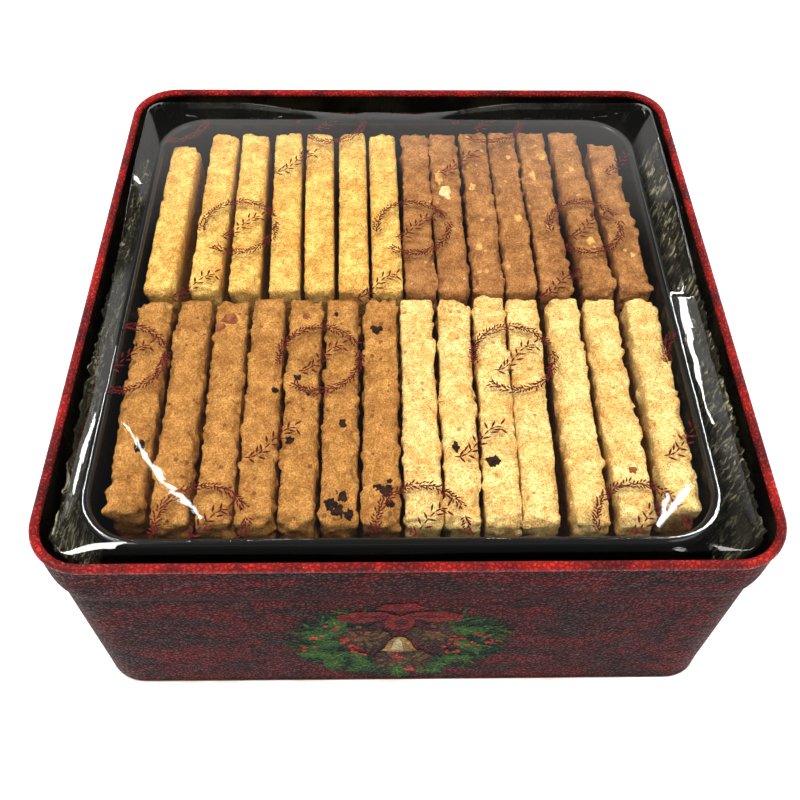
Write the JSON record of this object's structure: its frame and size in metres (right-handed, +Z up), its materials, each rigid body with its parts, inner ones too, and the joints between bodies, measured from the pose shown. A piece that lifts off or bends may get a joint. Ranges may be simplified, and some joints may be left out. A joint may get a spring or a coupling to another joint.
{
  "type": "cookie tin",
  "caption": "Square embossed tin with a curled rim, open, holding a black tray of cookie slices sealed in clear printed film that lifts straight out.",
  "frame": {"origin": "centre of the base, on the plane that the double seam stands on", "axes": "+Z up out of the open mouth, +X to the right and -Y towards the printed front"},
  "size_m": [0.19, 0.19, 0.0834],
  "materials": {
    "printed_tin": "glossy, embossed crackle grain",
    "bare_tinplate": "satin tinplate",
    "black_tray": "glossy",
    "clear_film": "glossy clear, printed",
    "cookie_plain": "baked, crumbly",
    "cookie_chocolate": "baked, crumbly",
    "cookie_chip": "baked, crumbly",
    "cookie_light": "baked, crumbly"
  },
  "bodies": {
    "tin": {"tin_body": "printed_tin", "tin_bottom": "bare_tinplate"},
    "pack": {"tray": "black_tray", "film_wrap": "clear_film", "cookie_plain_1": "cookie_plain", "cookie_plain_2": "cookie_plain", "cookie_plain_3": "cookie_plain", "cookie_plain_4": "cookie_plain", "cookie_plain_5": "cookie_plain", "cookie_plain_6": "cookie_plain", "cookie_plain_7": "cookie_plain", "cookie_chocolate_1": "cookie_chocolate", "cookie_chocolate_2": "cookie_chocolate", "cookie_chocolate_3": "cookie_chocolate", "cookie_chocolate_4": "cookie_chocolate", "cookie_chocolate_5": "cookie_chocolate", "cookie_chocolate_6": "cookie_chocolate", "cookie_chocolate_7": "cookie_chocolate", "cookie_chip_1": "cookie_chip", "cookie_chip_2": "cookie_chip", "cookie_chip_3": "cookie_chip", "cookie_chip_4": "cookie_chip", "cookie_chip_5": "cookie_chip", "cookie_chip_6": "cookie_chip", "cookie_chip_7": "cookie_chip", "cookie_light_1": "cookie_light", "cookie_light_2": "cookie_light", "cookie_light_3": "cookie_light", "cookie_light_4": "cookie_light", "cookie_light_5": "cookie_light", "cookie_light_6": "cookie_light", "cookie_light_7": "cookie_light"}
  },
  "joints": [
    {"name": "pack_lift", "type": "slide", "parent": "tin", "child": "pack", "axis": [0, 0, 1], "range_m": [0, 0.1]}
  ]
}
